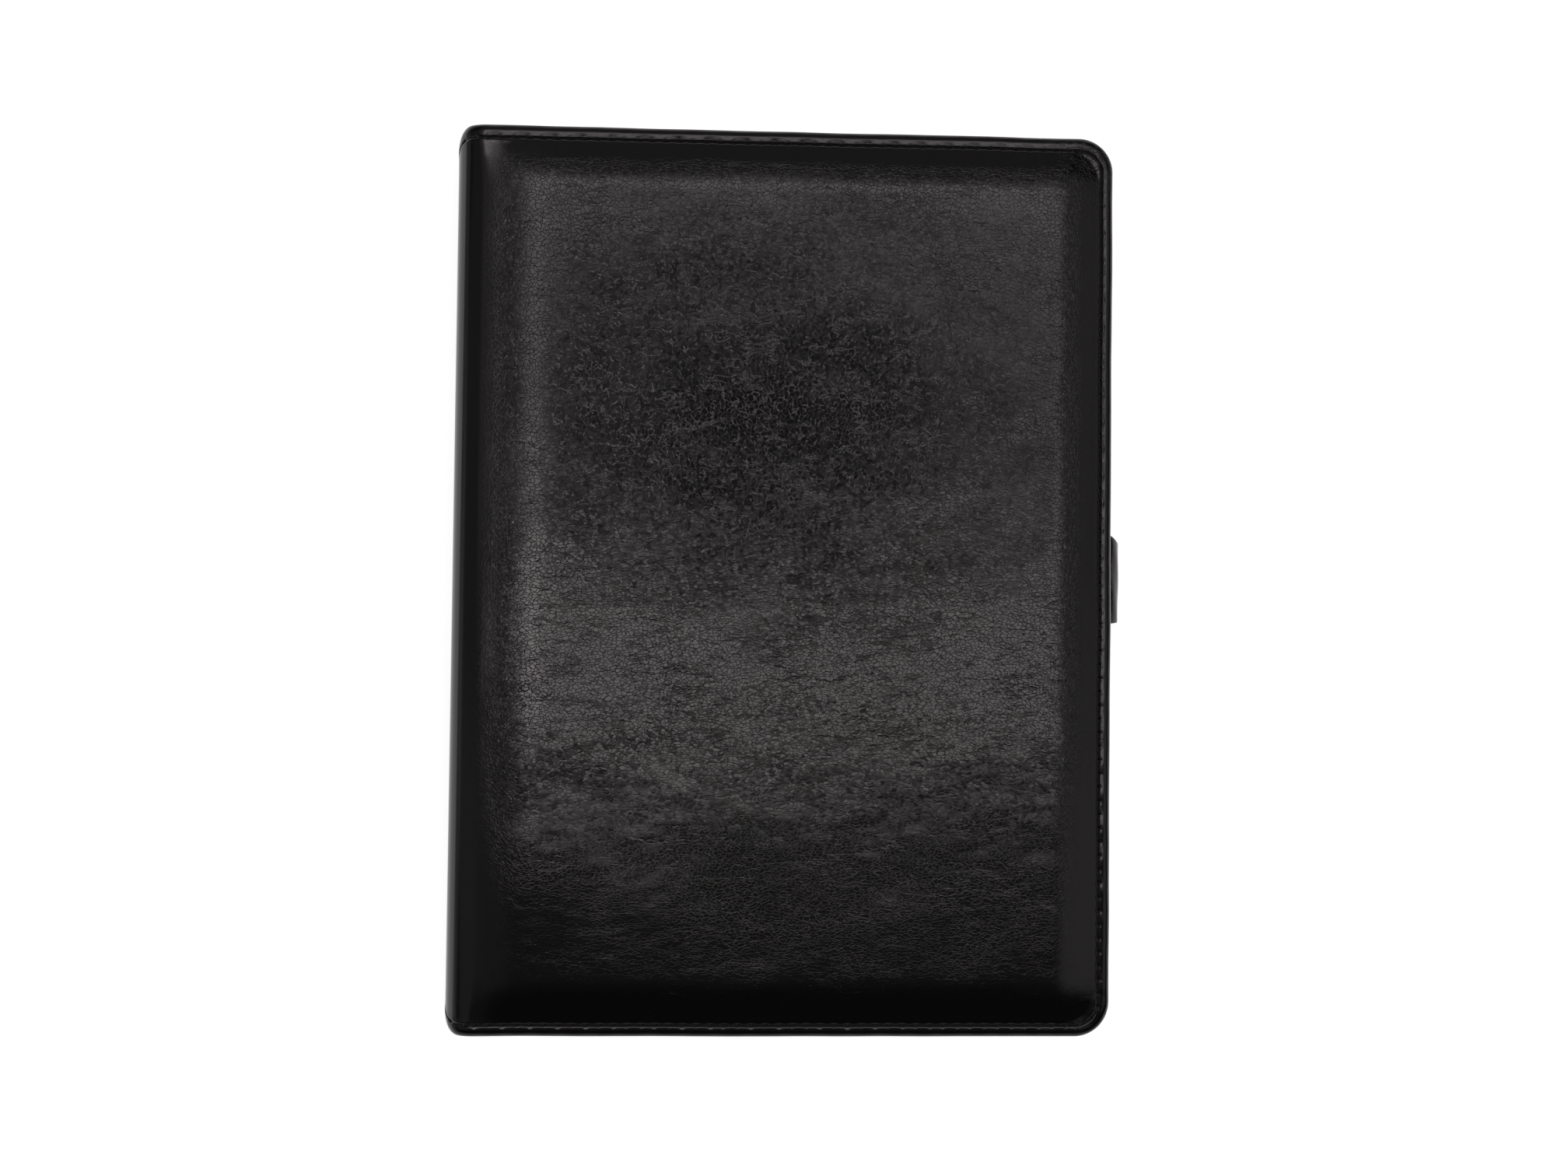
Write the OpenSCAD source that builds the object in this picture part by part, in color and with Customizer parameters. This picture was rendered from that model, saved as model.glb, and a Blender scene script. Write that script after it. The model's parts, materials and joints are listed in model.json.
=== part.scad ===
// Padded leather cover for an A5 notebook, closed and lying on its back panel.
// X runs from the spine to the fore edge, Y from foot to head, Z up through the front panel.
// The origin is the centre of the resting face.

/* [Cover] */
// Height of the cover, head to foot
cover_h = 222; // [200:1:240]
// Width of the closed cover, spine to fore edge
cover_w = 162.5; // [158:0.5:180]
// Thickness of the closed cover over both pads
closed_t = 21.5; // [21.5:0.5:26]
// Corner radius at the fore edge
corner_r = 8.5; // [6:0.5:12]
// Corner radius at the two ends of the spine
spine_corner_r = 4; // [2:0.5:5]

/* [Panels] */
// Thickness of one leather layer
leather_t = 0.9; // [0.6:0.1:1.2]
// Thickness of the stiffener board in each panel
board_t = 1.2; // [0.8:0.1:1.4]
// Thickness of the inner lining
lining_t = 0.5; // [0.3:0.1:0.6]
// Thickness of a panel at its sewn edge
edge_t = 2.4; // [2.2:0.1:2.8]
// Thickness of a panel over its pad
panel_t = 4.5; // [4.2:0.1:5.5]
// Distance from the sewn edge to the foot of the pad
pad_foot = 3.6; // [3.4:0.1:5]
// Distance from the sewn edge to the flat of the pad
pad_shoulder = 14.5; // [12:0.5:18]
// Width of the unpadded strip beside the spine
hinge_strip = 12.4; // [10:0.2:15]

/* [Spine] */
// Outer radius of the two folds between the spine and the panels
fold_r = 7.5; // [6.5:0.5:8]
// Thickness of the curved spine stiffener
stiffener_t = 1; // [0.6:0.1:1.2]

/* [Stitching] */
// Distance from the edge to the seam
seam_inset = 2.7; // [2:0.1:3.2]
// Length of one stitch and the gap after it
stitch_pitch = 3.35; // [2.5:0.05:4.5]
// Length of thread that shows in one stitch
stitch_l = 2.4; // [1.6:0.1:2.4]
// Diameter of the thread
thread_d = 0.5; // [0.3:0.05:0.55]

/* [Pockets] */
// Width of the pocket inside the front panel
front_sleeve_w = 98; // [80:1:110]
// Width of the pocket inside the back panel
back_sleeve_w = 76; // [50:1:110]
// Thickness of the pocket leather
sleeve_t = 0.6; // [0.4:0.1:0.7]
// Thickness of the leather of a card slot
slot_t = 0.3; // [0.2:0.05:0.3]
// Number of card slots
slots = 3; // [3:1:3]
// Height of the lowest card slot
slot_h = 46; // [40:1:50]
// Step from one card slot to the next
slot_step = 13; // [10:1:14]

/* [Notebook] */
// Width of the notebook's leaves
leaf_w = 148; // [140:1:148]
// Height of the notebook's leaves
leaf_h = 210; // [200:1:210]
// Thickness of the notebook's card cover
card_t = 0.4; // [0.3:0.05:0.4]
// Number of folded sections that stay on the back panel
lower_sections = 6; // [4:1:8]
// Number of folded sections that turn over with the front panel
upper_sections = 5; // [4:1:8]

/* [Pen loop] */
// Length of the loop along the fore edge
loop_l = 23; // [16:1:30]
// Diameter of the loop's bore
loop_bore_d = 7.4; // [6:0.2:7.4]
// Thickness of the loop's leather
loop_t = 0.9; // [0.7:0.1:0.9]
// How far the loop stands out past the fore edge
loop_out = 3.8; // [3:0.1:4.5]
// Distance of the loop's middle above the middle of the cover
loop_y = 1.6; // [-20:0.2:20]

/* [Hidden] */

leather_colour = "#1b1819";
pocket_colour = "#221e1f";
lining_colour = "#2b292a";
thread_colour = "#0e0d0d";
foam_colour = "#c9c4b6";
board_colour = "#8a7f6c";
card_colour = "#3a3a3c";
paper_colour = "#efe9da";

$fn = 48;
eps = 0.01;
gap = 0.05;                                      // play between pieces that lie on each other
row_inset = 1.8;                                 // distance of a pocket's stitches from its edge
row_groove_w = 0.7;
row_thread_w = 0.45;
sleeve_thread = 0.3;
binding_t = 0.25;
slot_thread = 0.14;
half_h = cover_h / 2;
x_spine = -(cover_w + loop_out) / 2;
x_fore = x_spine + cover_w;
z_inner = closed_t - panel_t;                    // inner face of the front panel
z_edge = z_inner + edge_t;                       // outer face of the front panel at its sewn edge
fold_x = x_spine + fold_r;                       // centre of the fold beside the front panel
fold_z = z_edge - fold_r;
fold_t = edge_t - lining_t;                      // leather and its turned edge, at the folds
turned_w = 1.8;                                  // leather turned in over the edge, past the lining
board_inset = 5;
board_x = x_spine + hinge_strip + 1.2;           // spine-side edge of the boards
board_z = z_inner + lining_t;
foam_z = board_z + board_t;
groove_w = 0.7;
groove_d = 0.55;
stitch_depth = 0.28;                             // centre of the thread below the leather
sleeve_z = z_inner - gap - card_t - sleeve_t;    // page side of the front pocket
slots_z = sleeve_z - slots * slot_t;             // page side of the card slots
block_top = slots_z - gap;
block_bottom = closed_t - sleeve_z + gap;
leaf_x = x_spine + 5.8;                          // spine-side edge of the leaves
card_x = fold_x + 0.1;                           // spine-side edge of the notebook's card covers
pocket_seam = 3;                                 // width of a pocket's sewn margin
slot_x0 = x_fore - front_sleeve_w + 2.4;
slot_x1 = x_fore - 4.6;
slot_y0 = 18;                                    // lower edge of the card slots
loop_ro = loop_bore_d / 2 + loop_t;
loop_x = x_fore + loop_out - loop_ro;            // axis of the loop
loop_z = block_bottom + loop_ro;
tab_w = 5.5;
tab_t = 0.6;
section_gap = 0.05;

// One outer corner of a plate: what a fillet of radius r takes away
module corner_cut(x, y, sx, sy, r)
    translate([x, y]) scale_mirror(sx, sy) difference() {
        translate([-r, -r]) square(r + 1);
        translate([-r, -r]) circle(r);
        translate([-2 * r - 1, -r - 1]) square([r + 1, r + 3]);
        translate([-r - 1, -2 * r - 1]) square([r + 3, r + 1]);
    }

module scale_mirror(sx, sy)
    mirror([sx < 0 ? 1 : 0, 0]) mirror([0, sy < 0 ? 1 : 0]) children();

// A plate's outline with its own corner radii at the spine side and at the fore edge
module plate(x0, x1, half_y, r0, r1)
    difference() {
        translate([x0, -half_y]) square([x1 - x0, 2 * half_y]);
        for (sy = [-1, 1]) {
            if (r1 > 0) corner_cut(x1, sy * half_y, 1, sy, r1);
            if (r0 > 0) corner_cut(x0, sy * half_y, -1, sy, r0);
        }
    }

// The cover's outline, inset from the sewn edges and starting at x0
module sewn_outline(x0, inset)
    plate(x0, x_fore - inset, half_h - inset, 0, max(corner_r - inset, 0));

// A smooth outline of the pad, which a hull can take
module pad_outline(spine_inset, inset, r) {
    x0 = x_spine + spine_inset;
    x1 = x_fore - inset;
    for (x = [x0 + r, x1 - r], y = [-1, 1])
        translate([x, y * (half_h - inset - r)]) circle(r, $fn = 32);
}

module slab(z0, z1) translate([0, 0, z0]) linear_extrude(height = z1 - z0) children();

// Turns an outline drawn in X and Z into a solid between two Y values
module along_y(y0, y1)
    translate([0, y1, 0]) rotate([90, 0, 0]) linear_extrude(height = y1 - y0) children();

// Part of a ring in X and Z about the front fold's centre; angles count from +X
module fold_ring(r0, r1, a0, a1)
    translate([fold_x, fold_z]) intersection() {
        difference() {
            circle(r1);
            circle(r0);
        }
        polygon([[0, 0], for (k = [0:6]) 3 * r1 * [cos(a0 + (a1 - a0) * k / 6),
                                                  sin(a0 + (a1 - a0) * k / 6)]]);
    }

// Places a piece of the front panel in the back panel
module in_back() translate([0, 0, closed_t]) mirror([0, 0, 1]) children();

fold_split = 135;                                // where the fold's leather passes from panel to spine
split_gap = 1.2;                                 // degrees left open on each side of it

// The raised pad: a foot, a shoulder and a flat top
module pad(z0, z1, shrink, foot_drop) {
    rise = z1 - z0;
    hull() {
        slab(z0 - foot_drop, z0 + eps)
            pad_outline(hinge_strip + shrink, pad_foot + shrink, 6);
        slab(z0 + 0.62 * rise, z0 + 0.62 * rise + eps)
            pad_outline(hinge_strip + 4 + shrink, pad_foot + 4 + shrink, 8);
        slab(z1 - eps, z1)
            pad_outline(hinge_strip + pad_shoulder - pad_foot + shrink / 3,
                        pad_shoulder + shrink / 3, 8);
    }
}

module seam_groove() {
    slab(z_edge - groove_d, z_edge + 1) difference() {
        sewn_outline(x_spine - 20, seam_inset - groove_w / 2);
        sewn_outline(x_spine - 30, seam_inset + groove_w / 2);
    }
    for (side = [-1, 1])
        along_y(side * (half_h - seam_inset) - groove_w / 2, side * (half_h - seam_inset) + groove_w / 2)
            fold_ring(fold_r - groove_d, fold_r + 1, 89, fold_split + 10);
}

module panel_leather() color(leather_colour)
    difference() {
        union() {
            slab(z_inner, z_edge) sewn_outline(fold_x, 0);
            intersection() {
                along_y(-half_h, half_h)
                    fold_ring(fold_r - fold_t, fold_r, 90, fold_split - split_gap);
                slab(z_inner - 10, z_edge + 1) plate(x_spine, x_fore, half_h, spine_corner_r, 0);
            }
            pad(z_edge, closed_t, 0, 0.1);
        }
        slab(z_inner - 1, board_z) sewn_outline(fold_x - eps, turned_w);
        slab(board_z - eps, foam_z)
            plate(board_x, x_fore - board_inset, half_h - board_inset, 4, 4);
        pad_cavity();
        seam_groove();
    }

module pad_cavity()
    hull() {
        slab(foam_z - eps, foam_z + eps) pad_outline(hinge_strip + 2.6, pad_foot + 2.6, 5);
        slab(closed_t - leather_t - eps, closed_t - leather_t)
            pad_outline(hinge_strip + pad_shoulder - pad_foot + 0.6, pad_shoulder + 0.6, 7);
    }

module panel_foam() color(foam_colour)
    intersection() {
        pad_cavity();
        slab(foam_z, closed_t) sewn_outline(x_spine, 0);
    }

module panel_board() color(board_colour)
    slab(board_z, foam_z) plate(board_x, x_fore - board_inset, half_h - board_inset, 4, 4);

module panel_lining() color(lining_colour) {
    slab(z_inner, board_z) sewn_outline(fold_x, turned_w);
    along_y(-half_h + turned_w, half_h - turned_w)
        fold_ring(fold_r - edge_t, fold_r - fold_t, 90, fold_split - split_gap);
}

// The seam runs along the head, round two corners and back along the foot
seam_r = corner_r - seam_inset;
seam_side = x_fore - corner_r - fold_x;
seam_fore = cover_h - 2 * corner_r;
seam_arc = PI / 2 * seam_r;
seam_l = 2 * seam_side + 2 * seam_arc + seam_fore;
seam_n = round(seam_l / stitch_pitch);

// Position and direction at distance s along the upper half of the seam: x, y, angle
function seam_half(s) =
    s < seam_side ? [fold_x + s, half_h - seam_inset, 0]
    : s < seam_side + seam_arc
        ? let (a = 90 - (s - seam_side) / seam_arc * 90)
          [x_fore - corner_r + seam_r * cos(a), half_h - corner_r + seam_r * sin(a), a - 90]
    : [x_fore - seam_inset, half_h - corner_r - (s - seam_side - seam_arc), -90];

function seam_at(s) =
    s <= seam_l / 2 ? seam_half(s)
    : let (p = seam_half(seam_l - s)) [p[0], -p[1], 180 - p[2]];

module stitch(l = stitch_l) rotate([0, 90, 0]) cylinder(d = thread_d, h = l, center = true, $fn = 16);

// One stitch across a fold, at each end of the spine; the angle counts from +X
module fold_stitches(angles)
    for (side = [-1, 1], a = angles)
        translate([fold_x, side * (half_h - seam_inset), fold_z]) rotate([0, -a, 0])
            translate([fold_r - stitch_depth, 0, 0]) rotate([0, 90, 0]) stitch(stitch_l - 0.5);

module panel_stitching() color(thread_colour) {
    for (k = [0:seam_n - 1]) {
        p = seam_at((k + 0.5) * seam_l / seam_n);
        translate([p[0], p[1], z_edge - stitch_depth]) rotate([0, 0, p[2]]) stitch();
    }
    fold_stitches([103.5, 122.5]);
}

// A pocket: a leather sheet sewn on three sides and open towards the spine
module sleeve(width, notch) color(pocket_colour)
    difference() {
        slab(sleeve_z, z_inner) sewn_outline(x_fore - width, turned_w);
        row_groove(x_fore - width + row_inset, -half_h + 5, half_h - 5, sleeve_z, sleeve_thread);
        slab(z_inner - gap - card_t, z_inner + 1)
            sewn_outline(x_fore - width - 1, turned_w + pocket_seam);
        if (notch)
            slab(z_inner - tab_t, z_inner + 1)
                translate([x_fore - tab_w, loop_y - loop_l / 2 - gap])
                    square([tab_w, loop_l + 2 * gap]);
    }

// A groove for a row of stitches that runs along Y, open towards the pages
module row_groove(x, y0, y1, z, thread_t)
    translate([x - row_groove_w / 2, y0, z - 1])
        cube([row_groove_w, y1 - y0, 1 + thread_t + gap]);

// The stitches in that groove
module row_stitches(x, y0, y1, z, thread_t) {
    n = floor((y1 - y0) / stitch_pitch);
    pitch = (y1 - y0) / n;
    for (k = [0:n - 1])
        translate([x - row_thread_w / 2, y0 + (k + 0.5) * pitch - stitch_l / 2, z])
            cube([row_thread_w, stitch_l, thread_t]);
}

module sleeve_stitching(width) color(thread_colour)
    row_stitches(x_fore - width + row_inset, -half_h + 5, half_h - 5, sleeve_z, sleeve_thread);

// Card slot k; slot 1 is the lowest and lies nearest the pages
module card_slot(k) color(pocket_colour)
    difference() {
        slab(slots_z + (k - 1) * slot_t, slots_z + k * slot_t)
            translate([slot_x0, slot_y0])
                square([slot_x1 - slot_x0, slot_h + (k - 1) * slot_step]);
        if (k == 1)
            for (x = [slot_x0 + row_inset, slot_x1 - row_inset])
                row_groove(x, slot_y0 + 1, slot_y0 + slot_h - 1, slots_z, slot_thread);
    }

module card_slot_stitching() color(thread_colour)
    for (x = [slot_x0 + row_inset, slot_x1 - row_inset])
        row_stitches(x, slot_y0 + 1, slot_y0 + slot_h - 1, slots_z, slot_thread);

// The notebook's card cover, one leaf of which sits in the pocket of each panel
module notebook_card() color(card_colour)
    slab(z_inner - card_t - gap / 2, z_inner - gap / 2)
        plate(card_x, leaf_x + leaf_w + 1.4, leaf_h / 2 + 1, 0, 4);

// One folded section, round at the fold; the sections above the middle turn with the front
module notebook_section(k) color(paper_colour) {
    lower = k <= lower_sections;
    pitch = lower ? (closed_t / 2 - block_bottom) / lower_sections
                  : (block_top - closed_t / 2) / upper_sections;
    z0 = lower ? block_bottom + (k - 1) * pitch : closed_t / 2 + (k - 1 - lower_sections) * pitch;
    fold = (pitch - section_gap) / 2;
    x0 = leaf_x + binding_t + gap + fold;
    translate([0, 0, z0 + section_gap / 2]) {
        slab(0, 2 * fold) plate(x0, leaf_x + leaf_w, leaf_h / 2, 0, 4);
        intersection() {
            translate([x0, leaf_h / 2, fold]) rotate([90, 0, 0]) cylinder(r = fold, h = leaf_h);
            translate([x0 - 2 * fold, -leaf_h, 0]) cube([2 * fold, 2 * leaf_h, 2 * fold]);
        }
    }
}

// The strip glued over the folds of one half of the sections
module notebook_binding(z0, z1) color(card_colour)
    translate([leaf_x, -leaf_h / 2, z0]) cube([binding_t, leaf_h, z1 - z0]);

// A curved layer of the spine: two quarter folds cut short and the straight part between them
module spine_ring(r0, r1, half_y)
    along_y(-half_y, half_y) {
        fold_ring(r0, r1, fold_split + split_gap, 180);
        translate([0, closed_t]) mirror([0, 1]) fold_ring(r0, r1, fold_split + split_gap, 180);
        translate([fold_x - r1, closed_t - fold_z - eps])
            square([r1 - r0, 2 * fold_z - closed_t + 2 * eps]);
    }

module spine_leather() color(leather_colour)
    difference() {
        intersection() {
            spine_ring(fold_r - leather_t, fold_r, half_h);
            slab(-1, closed_t + 1) plate(x_spine, x_fore, half_h, spine_corner_r, 0);
        }
        for (side = [-1, 1])
            along_y(side * (half_h - seam_inset) - groove_w / 2, side * (half_h - seam_inset) + groove_w / 2)
                difference() {
                    translate([x_spine - 5, 0]) square([fold_r + 5, closed_t]);
                    translate([fold_x, closed_t - fold_z]) circle(fold_r - groove_d);
                    translate([fold_x, fold_z]) circle(fold_r - groove_d);
                    translate([x_spine + groove_d, closed_t - fold_z])
                        square([fold_r, 2 * fold_z - closed_t]);
                }
    }

module spine_stiffener() color(board_colour)
    spine_ring(fold_r - fold_t, fold_r - fold_t + stiffener_t, half_h - turned_w);

module spine_lining() color(lining_colour)
    spine_ring(fold_r - edge_t, fold_r - fold_t, half_h - turned_w);

module spine_stitching() color(thread_colour) {
    fold_stitches([147.5, 166.5]);
    in_back() fold_stitches([147.5, 166.5]);
    for (side = [-1, 1])
        translate([x_spine + stitch_depth, side * (half_h - seam_inset), closed_t / 2])
            rotate([0, 90, 0]) stitch(stitch_l - 0.5);
}

module pen_loop() color(leather_colour)
    along_y(loop_y - loop_l / 2, loop_y + loop_l / 2)
        translate([loop_x, loop_z]) difference() {
            union() {
                circle(loop_ro);
                translate([0, -loop_ro]) square([x_fore - loop_x, loop_t]);
            }
            circle(loop_bore_d / 2);
        }

// The loop's root, sewn between the lining and the back pocket, with a lip at the edge
module pen_loop_tab() color(leather_colour)
    along_y(loop_y - loop_l / 2, loop_y + loop_l / 2) {
        translate([x_fore - tab_w + gap, panel_t]) square([tab_w - gap, tab_t - gap / 2]);
        translate([x_fore - turned_w + gap, panel_t])
            square([turned_w - gap, block_bottom - panel_t - gap]);
    }

in_back() panel_leather();  // back_leather
in_back() panel_foam();  // back_foam
in_back() panel_board();  // back_board
in_back() panel_lining();  // back_lining
in_back() sleeve(back_sleeve_w, true);  // back_sleeve
in_back() panel_stitching();  // back_stitching
in_back() sleeve_stitching(back_sleeve_w);  // back_sleeve_stitching
pen_loop_tab();
pen_loop();
in_back() notebook_card();  // notebook_back_card
notebook_binding(block_bottom, closed_t / 2 - gap);  // notebook_lower_binding
notebook_binding(closed_t / 2 + gap, block_top);  // notebook_upper_binding
for (k = [1:lower_sections + upper_sections])
    notebook_section(k);
spine_leather();
spine_stiffener();
spine_lining();
spine_stitching();
panel_leather();  // front_leather
panel_foam();  // front_foam
panel_board();  // front_board
panel_lining();  // front_lining
panel_stitching();  // front_stitching
sleeve(front_sleeve_w, false);  // front_sleeve
sleeve_stitching(front_sleeve_w);  // front_sleeve_stitching
notebook_card();  // notebook_front_card
for (k = [1:slots])
    card_slot(k);
card_slot_stitching();
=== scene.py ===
"""Looks for the padded notebook cover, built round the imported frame.

Each half of the cover's leather is one skin that runs from the middle of the spine, round a fold and
over a panel to the sewn edge. It is drawn flat, in (u, v, h): u across from the middle of the spine,
v along the height and h out of the leather, and then wrapped round the fold by wrap().
Lengths in this file are in millimetres until a mesh is made.
"""
import json
import math

import bpy
import numpy as np
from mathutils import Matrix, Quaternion, Vector


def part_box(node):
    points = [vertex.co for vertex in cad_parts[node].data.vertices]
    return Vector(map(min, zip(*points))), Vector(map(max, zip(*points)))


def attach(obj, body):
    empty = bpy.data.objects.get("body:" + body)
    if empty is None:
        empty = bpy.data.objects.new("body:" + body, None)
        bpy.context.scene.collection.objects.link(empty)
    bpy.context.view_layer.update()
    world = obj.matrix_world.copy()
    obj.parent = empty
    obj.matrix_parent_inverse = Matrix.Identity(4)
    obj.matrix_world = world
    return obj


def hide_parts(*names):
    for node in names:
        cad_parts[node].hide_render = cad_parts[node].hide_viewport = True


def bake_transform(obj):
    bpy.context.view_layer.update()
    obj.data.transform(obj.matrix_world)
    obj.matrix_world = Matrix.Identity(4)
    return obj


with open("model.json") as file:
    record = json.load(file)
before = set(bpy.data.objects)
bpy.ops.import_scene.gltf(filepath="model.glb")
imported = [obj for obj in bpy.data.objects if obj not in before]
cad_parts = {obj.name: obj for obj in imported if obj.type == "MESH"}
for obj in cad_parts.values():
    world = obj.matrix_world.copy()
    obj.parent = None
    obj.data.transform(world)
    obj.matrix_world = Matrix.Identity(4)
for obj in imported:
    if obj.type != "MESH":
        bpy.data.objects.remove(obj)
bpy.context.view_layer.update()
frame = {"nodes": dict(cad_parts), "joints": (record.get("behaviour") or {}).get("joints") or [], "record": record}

MM = 0.001
UV_PER_MM = 1 / 500

# ---------------------------------------------------------------- places, from the frame


def box_mm(node):
    """The two corners of a CAD node's box, in millimetres."""
    low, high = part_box(node)
    return np.array(low) / MM, np.array(high) / MM


joint_at = {j["name"]: np.array(j["pos_m"]) / MM for j in frame["joints"]}
fore_x, half_h, thick = box_mm("front_leather")[1]
spine_x = box_mm("spine_leather")[0][0]
inner_z = box_mm("front_sleeve")[1][2]
hinge_in = joint_at["front_fold"][0] - spine_x
edge_z = joint_at["front_fold"][2] + hinge_in
fold_r = hinge_in / (1 - math.pi / 4)
fold_x = spine_x + fold_r
fold_z = edge_z - fold_r
mid_z = thick / 2
edge_t = edge_z - inner_z
lining_t = 0.5
lining_in = 1.8                          # how far the lining's edge lies inside the leather's
loop_low, loop_high = box_mm("pen_loop")
loop_r = (loop_high[2] - loop_low[2]) / 2
loop_x, loop_z = loop_high[0] - loop_r, loop_low[2] + loop_r
loop_mid = (loop_low[1] + loop_high[1]) / 2
loop_half = (loop_high[1] - loop_low[1]) / 2

half_span = fold_z - mid_z               # half of the spine's flat part
fold_arc = math.pi / 2 * fold_r
fold_end = half_span + fold_arc          # u where the panel begins
corner_r = 8.5                           # corners at the fore edge
spine_corner_r = 4.0                     # corners at the ends of the spine
flat_w = fold_end + fore_x - fold_x      # u of the fore edge
core_w = flat_w - corner_r               # the inner rectangle that the edge band surrounds
core_h = half_h - corner_r

# Leather
PAD_RISE = thick - edge_z
CONTACT_GAP = 0.02                       # between the back's leather and what the cover lies on
SEAM_D = 2.92                            # distance of the stitches from the edge
HEAD_SEAM = 0.45                         # how much further in they run along the head
SEAM_ARC = math.pi / 2 * (corner_r - SEAM_D)
SEAM_L = 2 * core_w + 2 * SEAM_ARC + 2 * core_h
STITCHES = round(SEAM_L / 3.35)
PITCH = SEAM_L / STITCHES
STITCH_SHARE = 0.72                      # the part of the pitch that one stitch covers
SLOT_ROW_HALF = 0.225                    # half the width of the card slots' stitch rows

# Mesh of the cover's leather
CELL = 1.0                               # size of the cells over the pad
FINE = 3                                 # cells of the edge band for each of those
ARC_STEPS = 24                           # columns of the band round a corner
BAND_D = [8.0, 7.2, 6.4, 5.7, 5.1, 4.6, 4.2, 3.9, 3.65, 3.45, 3.3, 3.17, 3.04, 2.92, 2.8, 2.67,
          2.54, 2.4, 2.25, 2.1, 1.97, 1.85]     # rows of the band, as distances from the edge
ROLL_R = 1.75                            # how far in the edge starts to roll over
ROLL_STEPS = 9
TURNED = [1.9, 2.2, 2.5]                 # how far the turned edge runs in under the panel

# Mesh of the pockets and card slots
SHEET_CORNER = 2.0
SHEET_ARC = 8                            # columns round a corner, its two ends included
RING_D = [1.9, 1.7, 1.5, 1.3, 1.1, 0.9, 0.7, 0.5, 0.3, 0.2, 0.12, 0.05, 0.0]
CLOSE_LINES = [0.25, 0.5, 0.75, 1.0, 1.3, 1.6, 2.0, 2.5, 3.0]     # distances from a sheet's grid ends


# ---------------------------------------------------------------- smooth steps and seeded noise


def smooth(t):
    t = np.clip(t, 0, 1)
    return t * t * (3 - 2 * t)


def bell(x, width):
    return np.exp(-(x / width) ** 2)


def gradient_noise(x, y, seed):
    """Smooth noise from -1 to 1 with features about 1 wide."""
    rng = np.random.default_rng(seed)
    table = rng.permutation(512)
    angle = rng.uniform(0, 2 * math.pi, 512)
    xi, yi = np.floor(x).astype(int), np.floor(y).astype(int)
    xf, yf = x - xi, y - yi
    fade_x, fade_y = (t ** 3 * (t * (t * 6 - 15) + 10) for t in (xf, yf))     # smooth in its slope too

    def corner(dx, dy):
        a = angle[table[(table[(xi + dx) % 512] + yi + dy) % 512]]
        return np.cos(a) * (xf - dx) + np.sin(a) * (yf - dy)

    low = corner(0, 0) * (1 - fade_x) + corner(1, 0) * fade_x
    high = corner(0, 1) * (1 - fade_x) + corner(1, 1) * fade_x
    return 1.5 * (low * (1 - fade_y) + high * fade_y)


def layered_noise(x, y, seed, layers=2):
    """Gradient noise with finer and weaker layers added."""
    total = np.zeros_like(x)
    for k in range(layers):
        total += gradient_noise(x * 2 ** k, y * 2 ** k, seed + k) / 2 ** k
    return total


# ---------------------------------------------------------------- wrapping flat leather


def wrap(points, back):
    """Flat (u, v, h) points of the front half to the cover's frame, or of the back half mirrored."""
    u, v, h = points[:, 0], points[:, 1], points[:, 2]
    turn = np.clip((u - half_span) / fold_r, 0, math.pi / 2)
    on_fold = turn > 0
    on_panel = u > fold_end
    radius = fold_r + h
    x = np.where(on_fold, fold_x - radius * np.cos(turn), spine_x - h)
    z = np.where(on_fold, fold_z + radius * np.sin(turn), mid_z + u)
    x = np.where(on_panel, fold_x + u - fold_end, x)
    z = np.where(on_panel, edge_z + h, z)
    near = np.clip(spine_corner_r - (x - spine_x), 0, spine_corner_r)
    cut = spine_corner_r - np.sqrt(spine_corner_r ** 2 - near ** 2)
    y = v - np.sign(v) * cut * smooth((np.abs(v) - half_h + 16) / 14)
    if back:
        z = thick - z
    return np.stack([x, y, z], 1)


def make_mesh(name, points, faces, uv=None, values=None, flip=False):
    """A mesh object from points in millimetres; uv is in millimetres too, values are point attributes."""
    mesh = bpy.data.meshes.new(name)
    if flip:
        faces = [f[::-1] for f in faces]
    mesh.from_pydata((np.asarray(points) * MM).tolist(), [], faces)
    if uv is not None:
        layer = mesh.uv_layers.new(name="flat")
        corner = np.zeros(len(mesh.loops), np.int32)
        mesh.loops.foreach_get("vertex_index", corner)
        layer.data.foreach_set("uv", (np.asarray(uv)[corner] * UV_PER_MM + 0.5).ravel())
    for key, value in (values or {}).items():
        attribute = mesh.attributes.new(key, "FLOAT", "POINT")
        attribute.data.foreach_set("value", np.asarray(value, np.float32))
    mesh.shade_smooth()
    mesh.update()
    obj = bpy.data.objects.new(name, mesh)
    bpy.context.scene.collection.objects.link(obj)
    return obj


# ---------------------------------------------------------------- the cover's leather


def past_outline(u):
    """Distance from the spine's outline, seen from the front."""
    return u - fold_end + fold_r


def near_corner(u, v, distance, width):
    """Strongest at that distance from the point of a fore-edge corner."""
    return bell(np.hypot(flat_w - u, half_h - np.abs(v)) - distance, width)


def pad_ends(u, v):
    """Distance inside the sewn edges, with rounded corners, up to the corners' own size."""
    corner = 16
    spine_start = -10                    # so far out that the spine's side hardly rounds the pad
    across = np.minimum(past_outline(u) - spine_start, flat_w - u)
    side = np.maximum(corner - across, 0)
    ends = np.maximum(corner - (half_h - np.abs(v)), 0)
    return corner - np.cbrt(side ** 3 + ends ** 3)


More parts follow.
